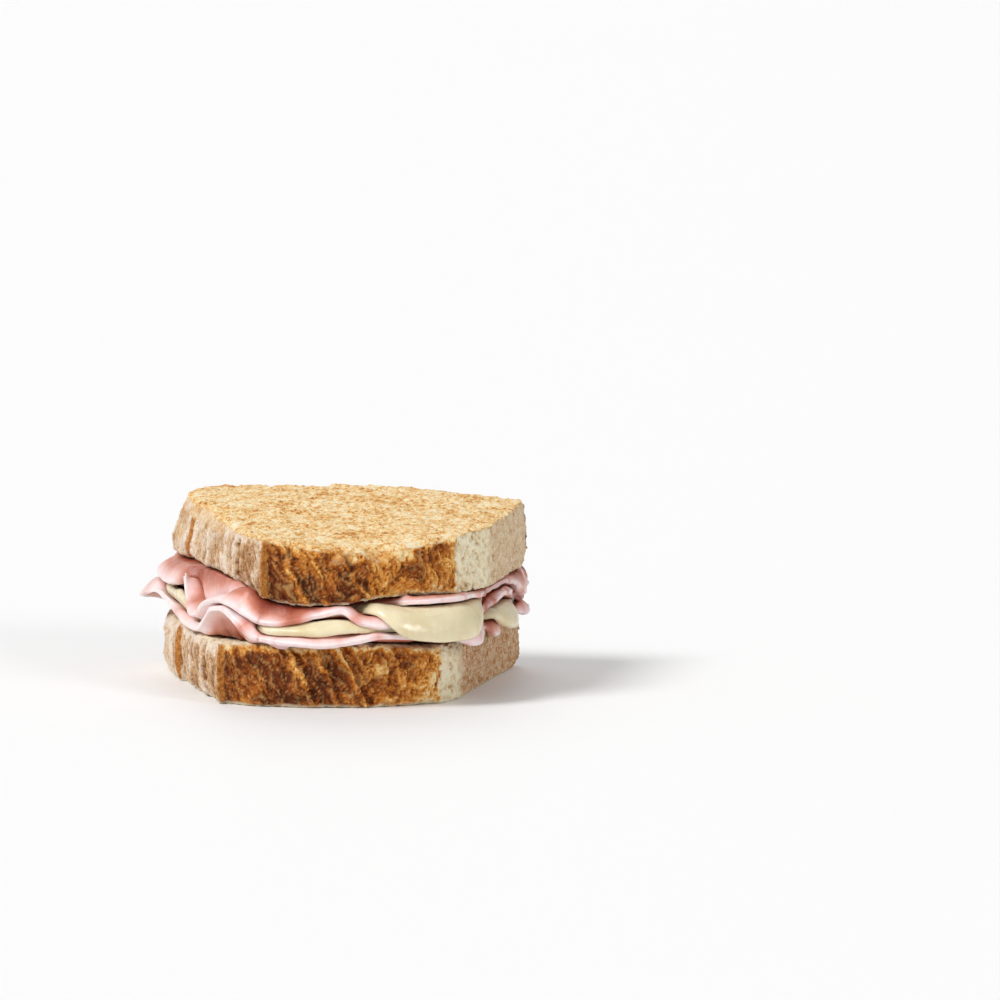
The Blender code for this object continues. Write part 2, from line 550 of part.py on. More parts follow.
# Lies under the top slice: a curtain behind the left lip's folds, and lobes on the cut side.
HAM_UPPER = (
    (-85.0, 0.5, 28.0, 1.0, 26.6), (-76.0, 1.6, 28.2, 2.6, 24.2), (-65.0, 2.4, 28.4, 4.2, 23.4),
    (-56.0, 1.4, 28.8, 3.4, 27.4), (-46.0, 0.0, 29.2, 1.6, 29.2), (-36.0, 0.0, 29.2, 1.6, 29.0),
    (-24.0, 0.0, 29.2, 1.8, 29.0), (-15.0, 0.2, 29.4, 2.2, 29.2), (-5.0, 0.8, 29.6, 3.6, 29.4),
    (6.0, 0.8, 29.5, 3.8, 29.3), (13.0, 0.4, 29.4, 3.2, 29.3), (18.0, -5.0, 28.6, -4.0, 28.7),
    (22.0, -8.0, 28.0, -7.0, 28.0), (27.0, -9.0, 27.6, -8.0, 27.6),
    (36.0, -8.0, 27.0, -7.0, 26.9), (50.0, -8.0, 27.4, -7.0, 27.2), (57.0, -6.4, 28.8, -4.6, 28.9),
    (63.0, -5.0, 29.8, -3.0, 31.0), (71.0, -3.0, 32.6, -2.4, 30.0), (79.0, -2.6, 33.0, -2.2, 27.8),
    (88.0, -2.2, 33.2, -2.0, 26.0), (96.0, -1.8, 33.2, -1.8, 25.0), (103.0, -2.4, 33.0, -2.2, 26.6),
    (106.5, -3.4, 32.8, -3.0, 29.0), (109.0, -3.4, 32.8, -2.6, 31.0), (112.5, -0.4, 33.0, 1.8, 29.4),
    (117.0, 1.2, 32.8, 3.6, 27.6), (127.0, 1.6, 32.6, 4.4, 27.2), (137.0, 1.6, 32.2, 4.6, 28.6),
    (147.0, 0.0, 31.2, 2.6, 30.0), (156.0, -1.0, 30.0, 1.0, 29.8),
    (168.0, 0.0, 28.4, 2.6, 28.2), (182.0, 0.0, 28.1, 1.4, 28.0), (198.0, 0.2, 28.2, 2.8, 27.6),
    (212.0, 0.4, 28.1, 3.0, 27.0), (229.0, 1.0, 28.1, 4.0, 24.2), (244.0, 0.0, 28.1, 1.8, 27.8),
    (256.0, 0.4, 28.1, 2.6, 27.2),
)


def solid_tree(obj):
    """A finished solid, in millimetres, for finding the nearest place on it."""
    points = [v.co / MM for v in obj.data.vertices]
    return BVHTree.FromPolygons(points, [f.vertices[:] for f in obj.data.polygons])


def stand_on_origin(objects):
    """Moves every mesh so that the whole stands centred on the origin."""
    corners = np.array([v.co for obj in objects for v in obj.data.vertices])
    low, high = corners.min(axis=0), corners.max(axis=0)
    shift = Vector((-(low[0] + high[0]) / 2, -(low[1] + high[1]) / 2, -low[2]))
    for obj in objects:
        for vertex in obj.data.vertices:
            vertex.co += shift


def main():
    for obj in list(bpy.data.objects):
        bpy.data.objects.remove(obj, do_unlink=True)
    filling = Outline(FILLING_OUTLINE)
    made = [
        bread_slice("bread_bottom", Outline(BOTTOM_OUTLINE), lambda x, y: 0.0, floor_z, bottom_relief,
                    0.0, (), (0.8,)),
        bread_slice("bread_top", Outline(TOP_OUTLINE), roof_z, top_z, top_relief, 5.0, (0.8, 0.4),
                    FACE_RINGS),
    ]
    stack = dict(breads=[solid_tree(obj) for obj in made], profiles=[])
    ham = (HAM_THICK, HAM_COLOUR, HAM_ROUGH, stack)
    cheese = (CHEESE_THICK, CHEESE_COLOUR, CHEESE_ROUGH, stack)
    made += [
        sheet("ham_lower", filling, 0.09, HAM_LOWER, *ham, steep=ARCH),
        sheet("cheese_lower", filling, 0.28, CHEESE_LOWER, *cheese),
        sheet("ham_middle", filling, 0.47, HAM_MIDDLE, *ham),
        sheet("cheese_upper", filling, 0.64, CHEESE_UPPER, *cheese),
        sheet("ham_upper", filling, 0.87, HAM_UPPER, *ham),
    ]
    stand_on_origin(made)


main()
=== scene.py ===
"""The look of half a ham and cheese toastie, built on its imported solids.

Metres, +X towards the cut, +Y away from the front crust, +Z up. Relief is worked out in millimetres.
Each slice of bread is remeshed finely and gets its flakes, crumb and toasted face as real relief; each
slice of ham and cheese is subdivided smoothly and softened. Every colour is procedural.
"""

import itertools
import math

import bmesh
import bpy
import numpy as np
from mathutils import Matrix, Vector
from mathutils.bvhtree import BVHTree
from mathutils.kdtree import KDTree


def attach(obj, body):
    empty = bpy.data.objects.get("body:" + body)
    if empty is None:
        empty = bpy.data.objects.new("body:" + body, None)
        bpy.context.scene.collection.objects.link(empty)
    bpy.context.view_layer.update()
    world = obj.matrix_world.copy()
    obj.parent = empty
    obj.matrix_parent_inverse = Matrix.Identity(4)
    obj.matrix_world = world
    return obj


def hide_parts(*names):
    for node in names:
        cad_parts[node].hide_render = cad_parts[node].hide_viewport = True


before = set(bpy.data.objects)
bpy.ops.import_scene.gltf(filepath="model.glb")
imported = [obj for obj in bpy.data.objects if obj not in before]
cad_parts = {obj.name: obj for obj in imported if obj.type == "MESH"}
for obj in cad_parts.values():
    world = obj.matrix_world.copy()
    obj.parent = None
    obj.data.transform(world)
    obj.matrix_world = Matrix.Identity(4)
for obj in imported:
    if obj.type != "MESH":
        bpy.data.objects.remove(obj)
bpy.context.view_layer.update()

MM = 0.001
VOXEL = 0.52 * MM
# The stretch of outline over which a slice's side is taken to be of one height, in millimetres.
BIN = 2.0
HAM_THICKNESS, CHEESE_THICKNESS = 1.25, 1.9
# Behind its rim a sheet swells towards the next layer, by this much at most, to within the gap.
MOST_SWELL = 3.8
LAYER_GAP = 0.25
# Edges of a sheet that bend by more degrees than this stay fairly sharp.
SHARP_EDGE = 62.0

# The photo: its width in pixels, its camera's angle in degrees and distance in metres, the size of a
# pixel at the part and where the frame's origin shows.
PHOTO_SIZE = 1000.0
PHOTO_ELEVATION = 6.3
PHOTO_DISTANCE = 3.0
PIXEL = 0.283 * MM
ORIGIN_COLUMN, ORIGIN_ROW = 332.0, 684.3

# Outlines of the slices in plan, in millimetres, leftwards from the front corner of the cut: along
# the front crust, round the left end, along the back crust and back along the cut. They are measured
# from the front corner's foot, and MIDDLE is where the frame's origin lies among them.
MIDDLE = (-0.5, 41.5)
TOP_OUTLINE = (
    (35.2, 0.0), (25.0, -6.0), (11.0, -11.0), (-7.0, -12.0), (-18.0, -8.5), (-19.6, -10.1),
    (-24.0, 1.5), (-32.6, 25.0), (-38.2, 48.0), (-39.2, 54.9), (-41.4, 55.9), (-44.2, 72.0),
    (-45.0, 87.0), (-38.0, 98.0), (-14.0, 95.0), (22.0, 88.0), (54.6, 80.0), (50.0, 48.0),
    (44.2, 16.0), (42.6, 12.2),
)
BOTTOM_OUTLINE = (
    (30.8, -1.5), (24.0, -7.0), (12.0, -11.5), (-3.0, -12.5), (-19.0, -10.0), (-30.2, -3.7),
    (-32.0, -4.7), (-34.6, 8.0), (-38.4, 22.0), (-42.4, 41.0), (-43.4, 47.2), (-45.2, 47.9),
    (-48.2, 66.0), (-48.6, 87.0), (-41.0, 99.0), (-14.0, 97.0), (22.0, 91.0), (52.6, 84.0),
    (44.0, 46.0), (36.0, 9.0), (34.4, 5.2),
)
# The corner of each outline from which the cut begins, at the back.
TOP_CUT_FROM, BOTTOM_CUT_FROM = 16, 17
# Where a scale of crust ends in a step that faces the cut: the distance along the outline at half
# height, and how much further along it is on top.
TOP_STEPS = ((31.0, 11.0), (47.5, 9.0), (78.0, 2.0), (102.0, 2.0))
BOTTOM_STEPS = ((27.3, 9.5), (34.5, 7.0), (41.5, 8.5), (86.0, 2.0), (104.0, 1.0))
# The narrow walls beside the scores in the crust: the middle along the outline, and the width.
TOP_LIPS = ((57.4, 2.2), (127.8, 2.4))
BOTTOM_LIPS = ((66.7, 2.1), (121.9, 1.9))
# Stretches of the outline over which the crust turns scaly, and floury crust turns into browned back.
SCALY_FROM, SCALY_FULLY = 22.0, 34.0
BACK_FROM, BACK_FULLY = 160.0, 178.0
# The middle of the torn patch in the upper slice's upper edge.
TORN_AT = 16.5
# How wide the pale strip of the cut is, beside the front crust. Past it the cut gets painted shade.
TOP_STRIP, BOTTOM_STRIP = 19.0, 14.0

# The crust's relief: the widths of flakes, small flakes and wrinkles, and how far they lean sideways
# for each millimetre of height, in general and more on scaly or floury crust.
FLAKE, SMALL_FLAKE, WRINKLE = 3.4, 1.4, 0.9
LEAN, SCALY_LEAN, FLOURY_LEAN = 0.12, 0.42, 0.3
# The pores of the crumb: their spacing and depth.
PORES = ((4.0, 0.6), (2.1, 0.75), (1.3, 0.7))

# Ramps of colours, each with the share at which it is reached.
BROWN_CRUST = (
    (0.02, (0.09, 0.017, 0.002)), (0.22, (0.17, 0.036, 0.004)), (0.42, (0.31, 0.077, 0.008)),
    (0.62, (0.55, 0.18, 0.020)), (0.78, (0.77, 0.34, 0.065)), (0.89, (0.88, 0.53, 0.17)),
    (1.0, (0.94, 0.77, 0.46)),
)
FLOURY_CRUST = (
    (0.1, (0.18, 0.065, 0.018)), (0.34, (0.40, 0.19, 0.08)), (0.56, (0.63, 0.41, 0.25)),
    (0.76, (0.84, 0.67, 0.52)), (1.0, (0.94, 0.85, 0.74)),
)
# The walls beside the scores: dark orange, partly their baked colour and partly painted shade.
SCORE_WALL_AND_SHADE = ((0.38, (0.30, 0.08, 0.008)), (0.62, (0.70, 0.30, 0.06)))
CRUMB = ((0.24, (0.50, 0.30, 0.14)), (0.54, (0.83, 0.66, 0.40)), (0.88, (0.96, 0.87, 0.64)))
TOASTED_FACE = (
    (0.18, (0.96, 0.86, 0.63)), (0.42, (0.95, 0.74, 0.41)), (0.64, (0.88, 0.52, 0.17)),
    (0.92, (0.52, 0.17, 0.025)),
)
# Ham from its cut rim inwards: the pale pink near the rim is the ham's own colour, and the deep reds further
# in are painted shade for its pockets.
HAM_RIM_TO_POCKET_SHADE = (
    (0.02, (0.90, 0.76, 0.76)), (0.13, (0.86, 0.62, 0.61)), (0.25, (0.77, 0.41, 0.35)),
    (0.40, (0.57, 0.20, 0.13)), (0.75, (0.34, 0.07, 0.035)),
)
CHEESE = ((0.3, (0.71, 0.60, 0.36)), (0.7, (0.81, 0.73, 0.51)))
# Single colours that are mixed in.
# A painted highlight along the flake edges.
FLAKE_EDGE_HIGHLIGHT = (0.86, 0.55, 0.20)
PALE_HAM = (0.88, 0.64, 0.57)
# Painted light on the ham that sticks out well beyond the bread.
LIT_END_OF_HAM = (0.90, 0.77, 0.74)
CHEESE_RIM = (0.80, 0.75, 0.56)
# Painted shade on the cheese under the bread.
CHEESE_SHADE_UNDER_BREAD = (0.50, 0.40, 0.25)
# Tints that multiply a colour.
FLOURY_STREAK = (0.74, 0.46, 0.22)
# Painted shade on the cut past its pale strip.
FAR_CUT_SHADE = (0.60, 0.30, 0.16)
# Painted shade on the ham under the bread.
HAM_SHADE_UNDER_BREAD = (0.56, 0.29, 0.22)

# Soft suns: where each stands, its spread in degrees and its strength.
SUNS = {
    "key": ((-0.80, -0.45, 0.95), 22.0, 2.3),
    "fill": ((0.9, -1.0, 0.55), 16.0, 0.8),
    "back": ((-0.1, 1.0, 0.8), 40.0, 0.5),
}
SKY_STRENGTH = 0.42
FLOOR_HALF = 4.0


def smooth(low, high, value):
    """0 below low and 1 above high, with an even bend between."""
    t = np.clip((value - low) / (high - low), 0.0, 1.0)
    return t * t * (3.0 - 2.0 * t)


def hashed(cell, seed):
    """A repeatable number from 0 to 1 for each cell of whole-numbered places."""
    x, y, z = cell.T
    n = (x * 374761393 + y * 668265263 + z * 1440662683 + seed * 974634777) & 0xFFFFFFFF
    n = ((n ^ (n >> 13)) * 1274126177) & 0xFFFFFFFF
    n = ((n ^ (n >> 15)) * 668265263) & 0xFFFFFFFF
    return ((n ^ (n >> 16)) & 0xFFFFFF) / 0xFFFFFF


def grain(places, seed=0):
    """Smooth noise from -1 to 1, with lumps about one unit wide."""
    cell = np.floor(places).astype(np.int64)
    t = places - cell
    t = t * t * t * (t * (6.0 * t - 15.0) + 10.0)
    total = np.zeros(len(places))
    for corner in itertools.product((0, 1), repeat=3):
        share = np.prod(np.where(corner, t, 1.0 - t), axis=1)
        total += share * hashed(cell + np.array(corner), seed)
    return 2.0 * total - 1.0


def layered(places, octaves=3, seed=0):
    """Several octaves of noise, from about -1 to 1."""
    total, size, most = 0.0, 1.0, 0.0
    for k in range(octaves):
        total = total + size * grain(places * 2.03 ** k + 7.7 * k, seed + k)
        most += size
        size *= 0.55
    return total / most * 1.6


def cells(places, seed=0):
    """Scattered cells: the distance to the nearest centre, the gap to the second nearest, the
    nearest one's own number and the place measured from it."""
    base = np.floor(places).astype(np.int64)
    first = np.full(len(places), 9.0)
    second = first.copy()
    value = np.zeros(len(places))
    offset = np.zeros_like(places)
    for step in itertools.product((-1, 0, 1), repeat=3):
        cell = base + np.array(step)
        centre = cell + np.stack([hashed(cell, seed + k) for k in (11, 12, 13)], axis=1)
        away = places - centre
        distance = np.linalg.norm(away, axis=1)
        nearer = distance < first
        second = np.where(nearer, first, np.minimum(second, distance))
        value = np.where(nearer, hashed(cell, seed + 14), value)
        offset = np.where(nearer[:, None], away, offset)
        first = np.where(nearer, distance, first)
    return first, second - first, value, offset


def settle(obj):
    """Makes the result of an object's modifiers its own mesh."""
    graph = bpy.context.evaluated_depsgraph_get()
    mesh = bpy.data.meshes.new_from_object(obj.evaluated_get(graph))
    old = obj.data
    obj.modifiers.clear()
    obj.data = mesh
    bpy.data.meshes.remove(old)


def copy_of(node, name):
    """A welded copy of a CAD solid, as a piece that stands for it."""
    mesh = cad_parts[node].data.copy()
    made = bmesh.new()
    made.from_mesh(mesh)
    bmesh.ops.remove_doubles(made, verts=made.verts, dist=1e-6)
    made.to_mesh(mesh)
    made.free()
    mesh.materials.clear()
    mesh.name = name
    obj = bpy.data.objects.new(name, mesh)
    bpy.context.scene.collection.objects.link(obj)
    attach(obj, "root")
    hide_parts(node)
    return obj


def points_of(mesh):
    flat = np.empty(3 * len(mesh.vertices))
    mesh.vertices.foreach_get("co", flat)
    return flat.reshape(-1, 3) / MM


def normals_of(mesh):
    flat = np.empty(3 * len(mesh.vertices), dtype=np.float32)
    mesh.vertex_normals.foreach_get("vector", flat)
    return flat.reshape(-1, 3).astype(float)


def move_points(mesh, points):
    mesh.vertices.foreach_set("co", (points * MM).ravel())
    mesh.update()


def paint(mesh, name, *channels):
    """Stores up to four values for each vertex, for the material to read."""
    layer = mesh.attributes.new(name, "FLOAT_COLOR", "POINT")
    filled = [*channels, *[np.zeros(len(mesh.vertices))] * (4 - len(channels))]
    layer.data.foreach_set("color", np.stack(filled, axis=1).astype(np.float32).ravel())


class Rim:
    """An outline in plan that tells how far along it a place is, and how far inside it."""

    def __init__(self, outline, cut_from):
        self.start = np.array(outline, float) - MIDDLE
        self.step = np.roll(self.start, -1, axis=0) - self.start
        self.size = np.linalg.norm(self.step, axis=1)
        self.reach = np.concatenate([[0.0], np.cumsum(self.size)])
        self.length = self.reach[-1]
        self.cut_from = self.reach[cut_from]

    def along(self, points):
        best = np.full(len(points), 1e9)
        found, inside = np.zeros(len(points)), np.zeros(len(points))
        for start, step, size, reach in zip(self.start, self.step, self.size, self.reach):
            away = points[:, :2] - start
            t = np.clip(away @ step / size ** 2, 0.0, 1.0)
            gap = np.linalg.norm(away - t[:, None] * step, axis=1)
            on_right = step[0] * away[:, 1] < step[1] * away[:, 0]
            nearer = gap < best
            found = np.where(nearer, reach + t * size, found)
            inside = np.where(nearer, np.where(on_right, gap, -gap), inside)
            best = np.minimum(gap, best)
        return found, inside


def wall_marks(along, lips):
    """1 on the narrow walls beside the scores, 0 elsewhere."""
    found = np.zeros(len(along))
    for at, width in lips:
        off = np.abs(along - at) - 0.5 * width
        found = np.maximum(found, 1.0 - smooth(-0.3, 0.35, off))
    return found


def rise_on_side(along, z, on_side):
    """How far up the slice's side each place is, from 0 to 1, between the side's own low and high
    edges there."""
    bins = np.arange(0.0, along.max() + BIN, BIN)
    place = np.clip((along / BIN).astype(int), 0, len(bins) - 1)
    low, high = np.full(len(bins), 1e9), np.full(len(bins), -1e9)
    np.minimum.at(low, place[on_side], z[on_side])
    np.maximum.at(high, place[on_side], z[on_side])
    known = high > low
    low = np.interp(along, bins[known] + BIN / 2, low[known])
    high = np.interp(along, bins[known] + BIN / 2, high[known])
    return (z - low) / (high - low)


class Places:
    """Where each vertex of a slice of bread lies on it, and what it is part of, from 0 to 1."""

    def __init__(self, mesh, rim, lips, is_top):
        self.points, self.normals = points_of(mesh), normals_of(mesh)
        self.z = self.points[:, 2]
        self.rim, self.is_top = rim, is_top
        self.along, inside = rim.along(self.points)
        waver = 0.9 * layered(self.points / 1.6, seed=7)
        self.side = 1.0 - smooth(0.5, 0.82, np.abs(self.normals[:, 2]))
        at_rim = 1.0 - smooth(3.0, 4.5, np.abs(inside))
        self.rise = rise_on_side(self.along, self.z, self.side * at_rim > 0.5)
        past_back = smooth(rim.cut_from - 0.2, rim.cut_from + 0.6, self.along + waver)
        self.cut = np.maximum(past_back, 1.0 - smooth(0.3, 0.9, self.along + waver))
        self.crust = self.side * (1.0 - self.cut) * at_rim
        self.toast = smooth(0.3, 0.7, self.normals[:, 2]) * is_top
        self.resting = smooth(0.3, 0.7, -self.normals[:, 2]) * (not is_top)
        self.lip = wall_marks(self.along + 0.5 * waver, lips) * self.crust
        # The crust is browned in front and at the back, and floury round the end between them.
        first_lip = lips[0][0]
        floury = smooth(first_lip - 2.0, first_lip + 1.0, self.along)
        floury *= 1.0 - smooth(BACK_FROM, BACK_FULLY, self.along + 3.0 * waver)
        self.browned = 1.0 - floury


def streaked(at, lean, across_size, long_size):
    """Places in a space that is stretched along the crust's wrinkles."""
    warp = 2.6 * layered(at.points / 8.0, seed=31)
    across = at.along - lean * at.z + warp
    bend = 1.2 * layered(at.points / 5.0, octaves=2, seed=47)
    depth = 0.12 * at.points[:, 1] / across_size
    return np.stack([across / across_size, (at.z + bend) / long_size, depth], axis=1)


def crust_relief(at):
    """Flakes that overlap towards the cut, with wrinkles on them. Returns the relief, how near a
    flake's edge is, each flake's own number and the wrinkles."""
    scaly = smooth(SCALY_FROM, SCALY_FULLY, at.along) * at.browned
    lean = LEAN + SCALY_LEAN * scaly + FLOURY_LEAN * (1.0 - at.browned)
    _, gap, value, offset = cells(streaked(at, lean, FLAKE, 3.6 + 3.0 * scaly), seed=100)
    flake = 0.85 * (value - 0.5) - 0.75 * offset[:, 0]
    places = streaked(at, lean, SMALL_FLAKE, 1.5 + 1.3 * scaly)
    _, small_gap, small_value, small_offset = cells(places, seed=200)
    small = 0.34 * (small_value - 0.5) - 0.3 * small_offset[:, 0]
    places = streaked(at, lean, WRINKLE, 1.1 + 2.0 * scaly)
    wrinkle = 0.5 - np.abs(layered(places, octaves=2, seed=60))
    edge = (1.0 - smooth(0.02, 0.16, gap)) * smooth(0.0, 0.35, -offset[:, 0])
    fine_edge = (1.0 - smooth(0.02, 0.2, small_gap)) * smooth(0.05, 0.3, -small_offset[:, 0])
    relief = (0.62 + 0.38 * at.browned) * (0.6 * flake + 0.95 * small + 0.45 * wrinkle)
    return relief, np.maximum(edge, 0.6 * fine_edge), value, wrinkle


def step_marks(at, steps):
    """How near each place is to a step's raised edge, and how near to the crease at its foot."""
    edge, crease = np.zeros(len(at.along)), np.zeros(len(at.along))
    waver = 0.9 * layered(at.points / 3.5, seed=540)
    for middle, lean in steps:
        past = at.along + waver - middle - lean * (at.rise - 0.5)
        edge = np.maximum(edge, smooth(-0.2, 0.25, past) * (1.0 - smooth(0.3, 2.4, past)))
        crease = np.maximum(crease, smooth(-2.6, -0.5, past) * (1.0 - smooth(-0.35, 0.1, past)))
    return edge, crease


def toast_relief(points):
    """Crumbs that stand up and pits between them, on the toasted face. Returns the relief, and how
    far each crumb stands out, which also tells how pale it is."""
    near, _, value, _ = cells(points / 1.35, seed=300)
    grains = (0.55 - near) * (0.4 + 0.9 * value)
    pit_near, _, pit_value, _ = cells(points / 3.2, seed=340)
    pits = -smooth(0.36, 0.1, pit_near) * smooth(0.45, 0.8, pit_value)
    waves = layered(points / 2.6, seed=380)
    broad = layered(points / 11.0, octaves=2, seed=390)
    return 0.8 * grains + 0.5 * pits + 0.36 * waves + 0.3 * broad, grains + 0.5 * waves + 0.6 * pits


def crumb_relief(points):
    """Open pores of all sizes in the soft inside of the bread. It goes inwards almost everywhere."""
    relief = np.zeros(len(points))
    for seed, (size, depth) in zip((400, 430, 460), PORES):
        warp = 0.25 * layered(points / size, octaves=2, seed=seed + 5)
        near, _, value, _ = cells(points / size * (1.0, 1.0, 0.8) + warp[:, None], seed)
        radius = 0.15 + 0.33 * value
        relief -= depth * (1.0 - smooth(0.3, 1.0, near / radius))
    return relief + 0.3 * layered(points / 1.3, octaves=2, seed=490) - 0.2


def torn_patches(at, ragged):
    """Paler patches where the upper slice's crust is torn near the cut, in its upper and its lower
    edge, and browner crust beside the cut's upper corner."""
    upper = (1.0 - smooth(1.0, 4.0, np.abs(at.along - TORN_AT))) * smooth(0.62, 0.9, ragged)
    lower = (1.0 - smooth(0.08, 0.36, ragged)) * smooth(0.0, 4.0, at.along)
    lower *= 1.0 - smooth(14.0, 24.0, at.along)
    corner = smooth(0.55, 0.85, at.rise) * (1.0 - smooth(8.0, 14.0, at.along))
    return 0.5 * upper + 0.3 * lower - 0.16 * corner


def crust_tone(at, flakes, value, wrinkle, step_edge, crease):
    """How pale the crust is, from 0 to 1. Its floury end, its raised flakes, the stretch beside the
    cut and its ragged upper and lower edges are paler. The steps' raised edges carry a painted
    highlight, and the creases at their feet a painted shade."""
    tone = 0.43 - 0.14 * smooth(24.0, 34.0, at.along) * at.browned
    tone += 0.24 * layered(at.points / 8.0, seed=510)
    tone += 0.30 * flakes + 0.24 * (value - 0.5) + 0.26 * np.minimum(wrinkle, 0.3)
    tone += (1.0 - at.browned) * (0.12 + 0.14 * smooth(122.0, 132.0, at.along))
    tone += 0.2 * (1.0 - smooth(1.5, 7.0, at.along)) * (1.0 - 0.8 * smooth(0.6, 0.9, at.rise))
    tone += 0.12 * (1.0 - smooth(6.0, 22.0, at.along))
    ragged = at.rise + 0.08 * layered(at.points / 1.8, seed=560)
    ragged += 0.07 * layered(at.points / 6.0, octaves=2, seed=570)
    tone += 0.5 * smooth(0.82, 0.98, ragged) + 0.2 * smooth(0.10, 0.0, ragged)
    if at.is_top:
        tone += torn_patches(at, ragged)
    # Painted highlight on the raised step edges, painted shade in the creases at their feet.
    return tone + 0.36 * step_edge - 0.2 * crease


def far_cut_shade_share(at):
    """How much painted shade, in brown, the cut gets past the pale strip beside the front crust."""
    strip, most = (TOP_STRIP, 0.6) if at.is_top else (BOTTOM_STRIP, 1.0)
    from_corner = at.rim.length - at.along - 3.0 * layered(at.points / 4.0, seed=21)
    past_strip = (at.along > at.rim.cut_from) * smooth(strip - 5.0, strip + 5.0, from_corner)
    return most * at.side * at.cut * past_strip


def fine_copy(node, name):
    """A copy of a slice of bread, remeshed finely enough to carry its relief."""
    obj = copy_of(node, name)
    remesh = obj.modifiers.new("remesh", "REMESH")
    remesh.mode = "VOXEL"
    remesh.voxel_size = VOXEL
    settle(obj)
    return obj


def bread(node, name, outline, cut_from, steps, lips):
    """A slice of bread with its crust, cut face and two faces in relief, and the masks for its look."""
    obj = fine_copy(node, name)
    mesh = obj.data
    at = Places(mesh, Rim(outline, cut_from), lips, node == "bread_top")
    flakes, edge, value, wrinkle = crust_relief(at)
    step_edge, crease = step_marks(at, steps)
    crumb = crumb_relief(at.points)
    toast_height, toast_tone = toast_relief(at.points)
    crust_height = (1.0 - 0.8 * at.lip) * (flakes + 0.55 * step_edge - 0.85 * crease)
    relief = at.crust * crust_height + (1.0 - at.crust) * crumb
    relief = at.toast * toast_height + (1.0 - at.toast) * relief
    relief = (1.0 - at.resting) * relief + at.resting * np.minimum(0.5 * crumb, 0.0)
    move_points(mesh, at.points + at.normals * relief[:, None])

    tone = crust_tone(at, flakes, value, wrinkle, step_edge, crease)
    tone = (1.0 - at.toast) * tone + at.toast * (0.5 + 0.5 * toast_tone)
    pore_shade = np.clip(1.0 + crumb, 0.0, 1.0)
    paint(mesh, "region", at.crust, at.toast, at.lip, 1.0 - at.browned)
    paint(mesh, "tone", np.clip(tone, 0.0, 1.0), edge * at.crust, pore_shade, far_cut_shade_share(at))
    mesh.shade_smooth()
    return obj


class Look:
    """A procedural material, built node by node."""

    def __init__(self, name):
        self.material = bpy.data.materials.new(name)
        self.material.use_nodes = True
        self.tree = self.material.node_tree
        self.shader = self.tree.nodes["Principled BSDF"]
        place = self.tree.nodes.new("ShaderNodeTexCoord").outputs["Object"]
        grow = self.tree.nodes.new("ShaderNodeVectorMath")
        grow.operation = "SCALE"
        grow.inputs["Scale"].default_value = 1.0 / MM
        self.tree.links.new(place, grow.inputs[0])
        self.place = grow.outputs[0]

    def put(self, socket, value):
        """Links a socket to another one, or sets its value."""
        if isinstance(value, bpy.types.NodeSocket):
            self.tree.links.new(value, socket)
        elif isinstance(value, tuple) and len(value) == 3 and socket.type == "RGBA":
            socket.default_value = (*value, 1.0)
        else:
            socket.default_value = value

    def math(self, operation, *values):
        node = self.tree.nodes.new("ShaderNodeMath")
        node.operation = operation
        for socket, value in zip(node.inputs, values):
            self.put(socket, value)
        return node.outputs[0]

    def mix(self, share, a, b, blend="MIX"):
        node = self.tree.nodes.new("ShaderNodeMix")
        node.data_type = "RGBA"
        node.blend_type = blend
        for socket, value in zip((node.inputs[0], node.inputs[6], node.inputs[7]), (share, a, b)):
            self.put(socket, value)
        return node.outputs[2]

    def noise(self, size, detail=3.0, rough=0.55, distortion=0.0, stretch=None):
        """Noise from 0 to 1 with lumps of about the size, in millimetres."""
        node = self.tree.nodes.new("ShaderNodeTexNoise")
        place = self.place
        if stretch:
            scale = self.tree.nodes.new("ShaderNodeVectorMath")
            scale.operation = "MULTIPLY"
            scale.inputs[1].default_value = stretch
            self.tree.links.new(place, scale.inputs[0])
            place = scale.outputs[0]
        self.tree.links.new(place, node.inputs["Vector"])
        node.inputs["Scale"].default_value = 1.0 / size
        node.inputs["Detail"].default_value = detail
        node.inputs["Roughness"].default_value = rough
        node.inputs["Distortion"].default_value = distortion
        return node.outputs["Fac"]

    def scaled(self, value, factor, more):
        """The value times a factor, and more added."""
        return self.math("MULTIPLY_ADD", value, factor, more)

    def ramp(self, share, stops):
        """A colour for each share, even between the stops."""
        node = self.tree.nodes.new("ShaderNodeValToRGB")
        points = node.color_ramp.elements
        for place, colour in stops[2:]:
            points.new(place)
        for point, (place, colour) in zip(points, stops):
            point.position = place
            point.color = (*colour, 1.0)
        self.tree.links.new(share, node.inputs[0])
        return node.outputs["Color"]

    def step(self, value, low, high):
        """0 at low and 1 at high, with an even bend between."""
        node = self.tree.nodes.new("ShaderNodeMapRange")
        node.interpolation_type = "SMOOTHSTEP"
        self.put(node.inputs["Value"], value)
        node.inputs["From Min"].default_value = low
        node.inputs["From Max"].default_value = high
        return node.outputs["Result"]

    def painted(self, name):
        """The channels stored on the mesh under a name."""
        node = self.tree.nodes.new("ShaderNodeAttribute")
        node.attribute_name = name
        split = self.tree.nodes.new("ShaderNodeSeparateColor")
        self.tree.links.new(node.outputs["Color"], split.inputs[0])
        return (*split.outputs, node.outputs["Alpha"])

    def bump(self, height, depth, under=None):
        """Fine relief, with its full depth in millimetres."""
        node = self.tree.nodes.new("ShaderNodeBump")
        node.inputs["Distance"].default_value = depth * MM
        self.put(node.inputs["Height"], height)
        if under:
            self.tree.links.new(under, node.inputs["Normal"])
        return node.outputs["Normal"]

    def finish(self, **sockets):
        """The material, with the shader's sockets set or linked. Spaces in their names are _ here."""
        for name, value in sockets.items():
            self.put(self.shader.inputs[name.replace("_", " ")], value)
        return self.material


